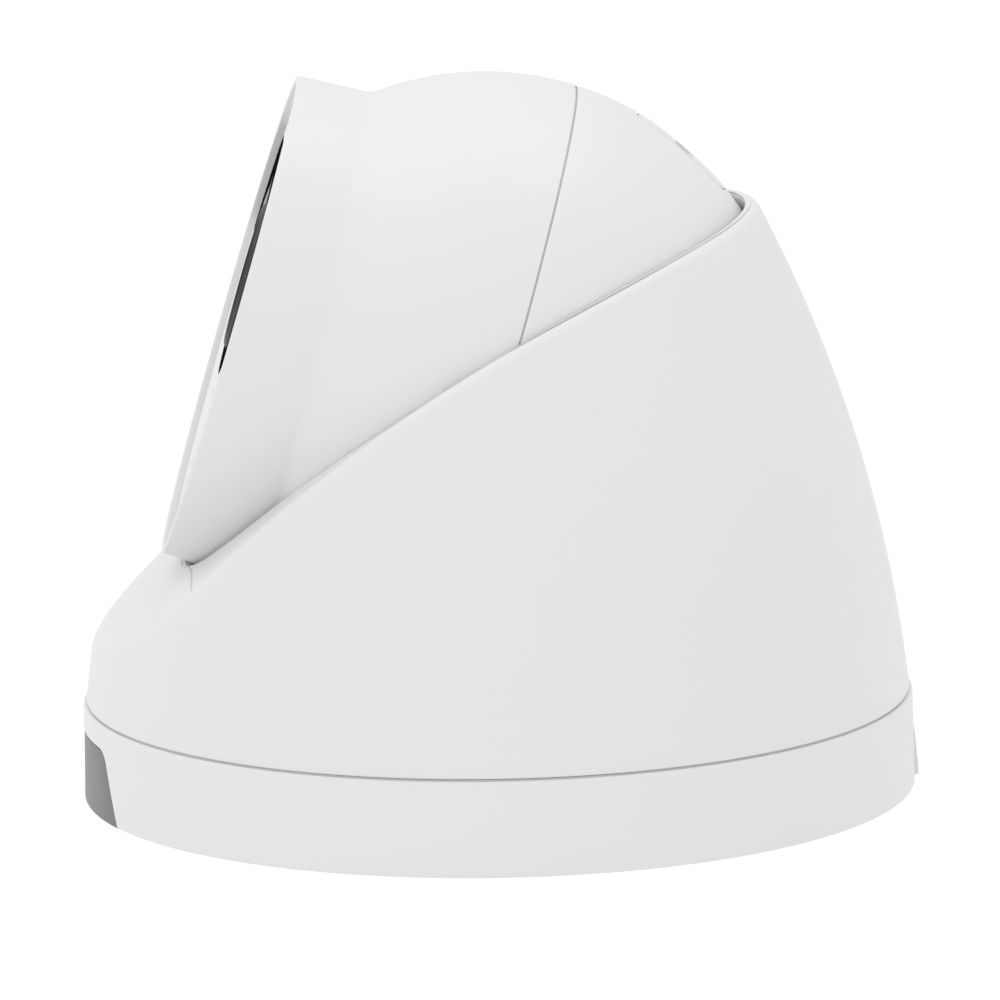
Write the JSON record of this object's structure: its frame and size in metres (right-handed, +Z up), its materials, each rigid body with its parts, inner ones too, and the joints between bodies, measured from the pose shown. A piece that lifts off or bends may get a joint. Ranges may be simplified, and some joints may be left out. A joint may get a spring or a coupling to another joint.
{
  "type": "turret security camera",
  "caption": "Turret security camera: a round base and flared panning cover hold a ball whose flat-faced lens end tilts and rolls.",
  "frame": {"origin": "on the pan axis, in the plane of the base's underside", "axes": "+Z up from the mounting face along the pan axis; -Y is where the lens looks at rest, 17.3 degrees above the horizon; X is parallel to the tilt axis"},
  "size_m": [0.1384, 0.1387, 0.1193],
  "materials": {
    "white_plastic": "fine satin, moulded",
    "pale_plastic": "plain moulded, unpainted",
    "grey_plastic": "satin, moulded",
    "smoked_window": "polished, dark smoked",
    "dark_plastic": "matt black",
    "rubber": "matt",
    "lens_glass": "coated, polished",
    "led_resin": "clear moulded resin",
    "steel": "zinc plated",
    "aluminium": "die cast",
    "circuit_board": "green solder mask",
    "thermal_pad": "soft, matt"
  },
  "bodies": {
    "base": {"base_housing": "white_plastic", "base_gasket": "rubber", "cable_entry_plug": "grey_plastic", "cable_grommet": "rubber", "base_lock_screw": "steel", "turntable_clip_1": "steel", "turntable_clip_2": "steel", "turntable_clip_3": "steel", "clip_screw_1": "steel", "clip_screw_2": "steel", "clip_screw_3": "steel"},
    "cover": {"cover": "white_plastic", "turntable": "pale_plastic", "pan_friction_ring": "rubber", "cover_screw_1": "steel", "cover_screw_2": "steel", "cover_screw_3": "steel", "tilt_guide": "pale_plastic", "guide_screw_left": "steel", "guide_screw_right": "steel"},
    "tilt": {"tilt_shoe": "aluminium"},
    "ball": {"front_shell": "white_plastic", "rear_shell": "white_plastic", "shell_seal": "pale_plastic", "service_cover": "white_plastic", "service_seal": "rubber", "service_screw_1": "steel", "service_screw_2": "steel", "bezel": "white_plastic", "window_panel": "smoked_window", "lens_ring": "dark_plastic", "front_lens": "lens_glass", "lens_barrel": "dark_plastic", "lens_holder": "dark_plastic", "image_sensor": "dark_plastic", "sensor_board": "circuit_board", "led_board": "circuit_board", "led_left": "led_resin", "led_right": "led_resin", "light_sensor": "lens_glass", "microphone": "dark_plastic", "speaker": "dark_plastic", "chassis_plate": "aluminium", "chassis_screw_1": "steel", "chassis_screw_2": "steel", "chassis_screw_3": "steel", "main_board": "circuit_board", "board_screw_1": "steel", "board_screw_2": "steel", "processor": "dark_plastic", "thermal_pad": "thermal_pad", "card_board": "circuit_board", "card_screw_1": "steel", "card_screw_2": "steel", "card_socket": "steel", "memory_card": "dark_plastic", "reset_switch": "dark_plastic", "hub_nut": "steel", "cable_gland": "rubber"},
    "reset_button": {"reset_button": "pale_plastic"}
  },
  "joints": [
    {"name": "pan", "type": "hinge", "parent": "base", "child": "cover", "pos_m": [0, 0, 0], "axis": [0, 0, 1], "range_deg": [-180, 180]},
    {"name": "tilt", "type": "hinge", "parent": "cover", "child": "tilt", "pos_m": [0, -0.0013, 0.0685], "axis": [-1, 0, 0], "range_deg": [0, 58]},
    {"name": "roll", "type": "hinge", "parent": "tilt", "child": "ball", "pos_m": [0, -0.0013, 0.0685], "axis": [0, -0.9548, 0.2974], "range_deg": [-180, 180]},
    {"name": "reset_press", "type": "slide", "parent": "ball", "child": "reset_button", "axis": [0.1889, -0.6632, -0.7242], "range_m": [0, 0.0003], "stiffness_N_per_m": 2000}
  ]
}
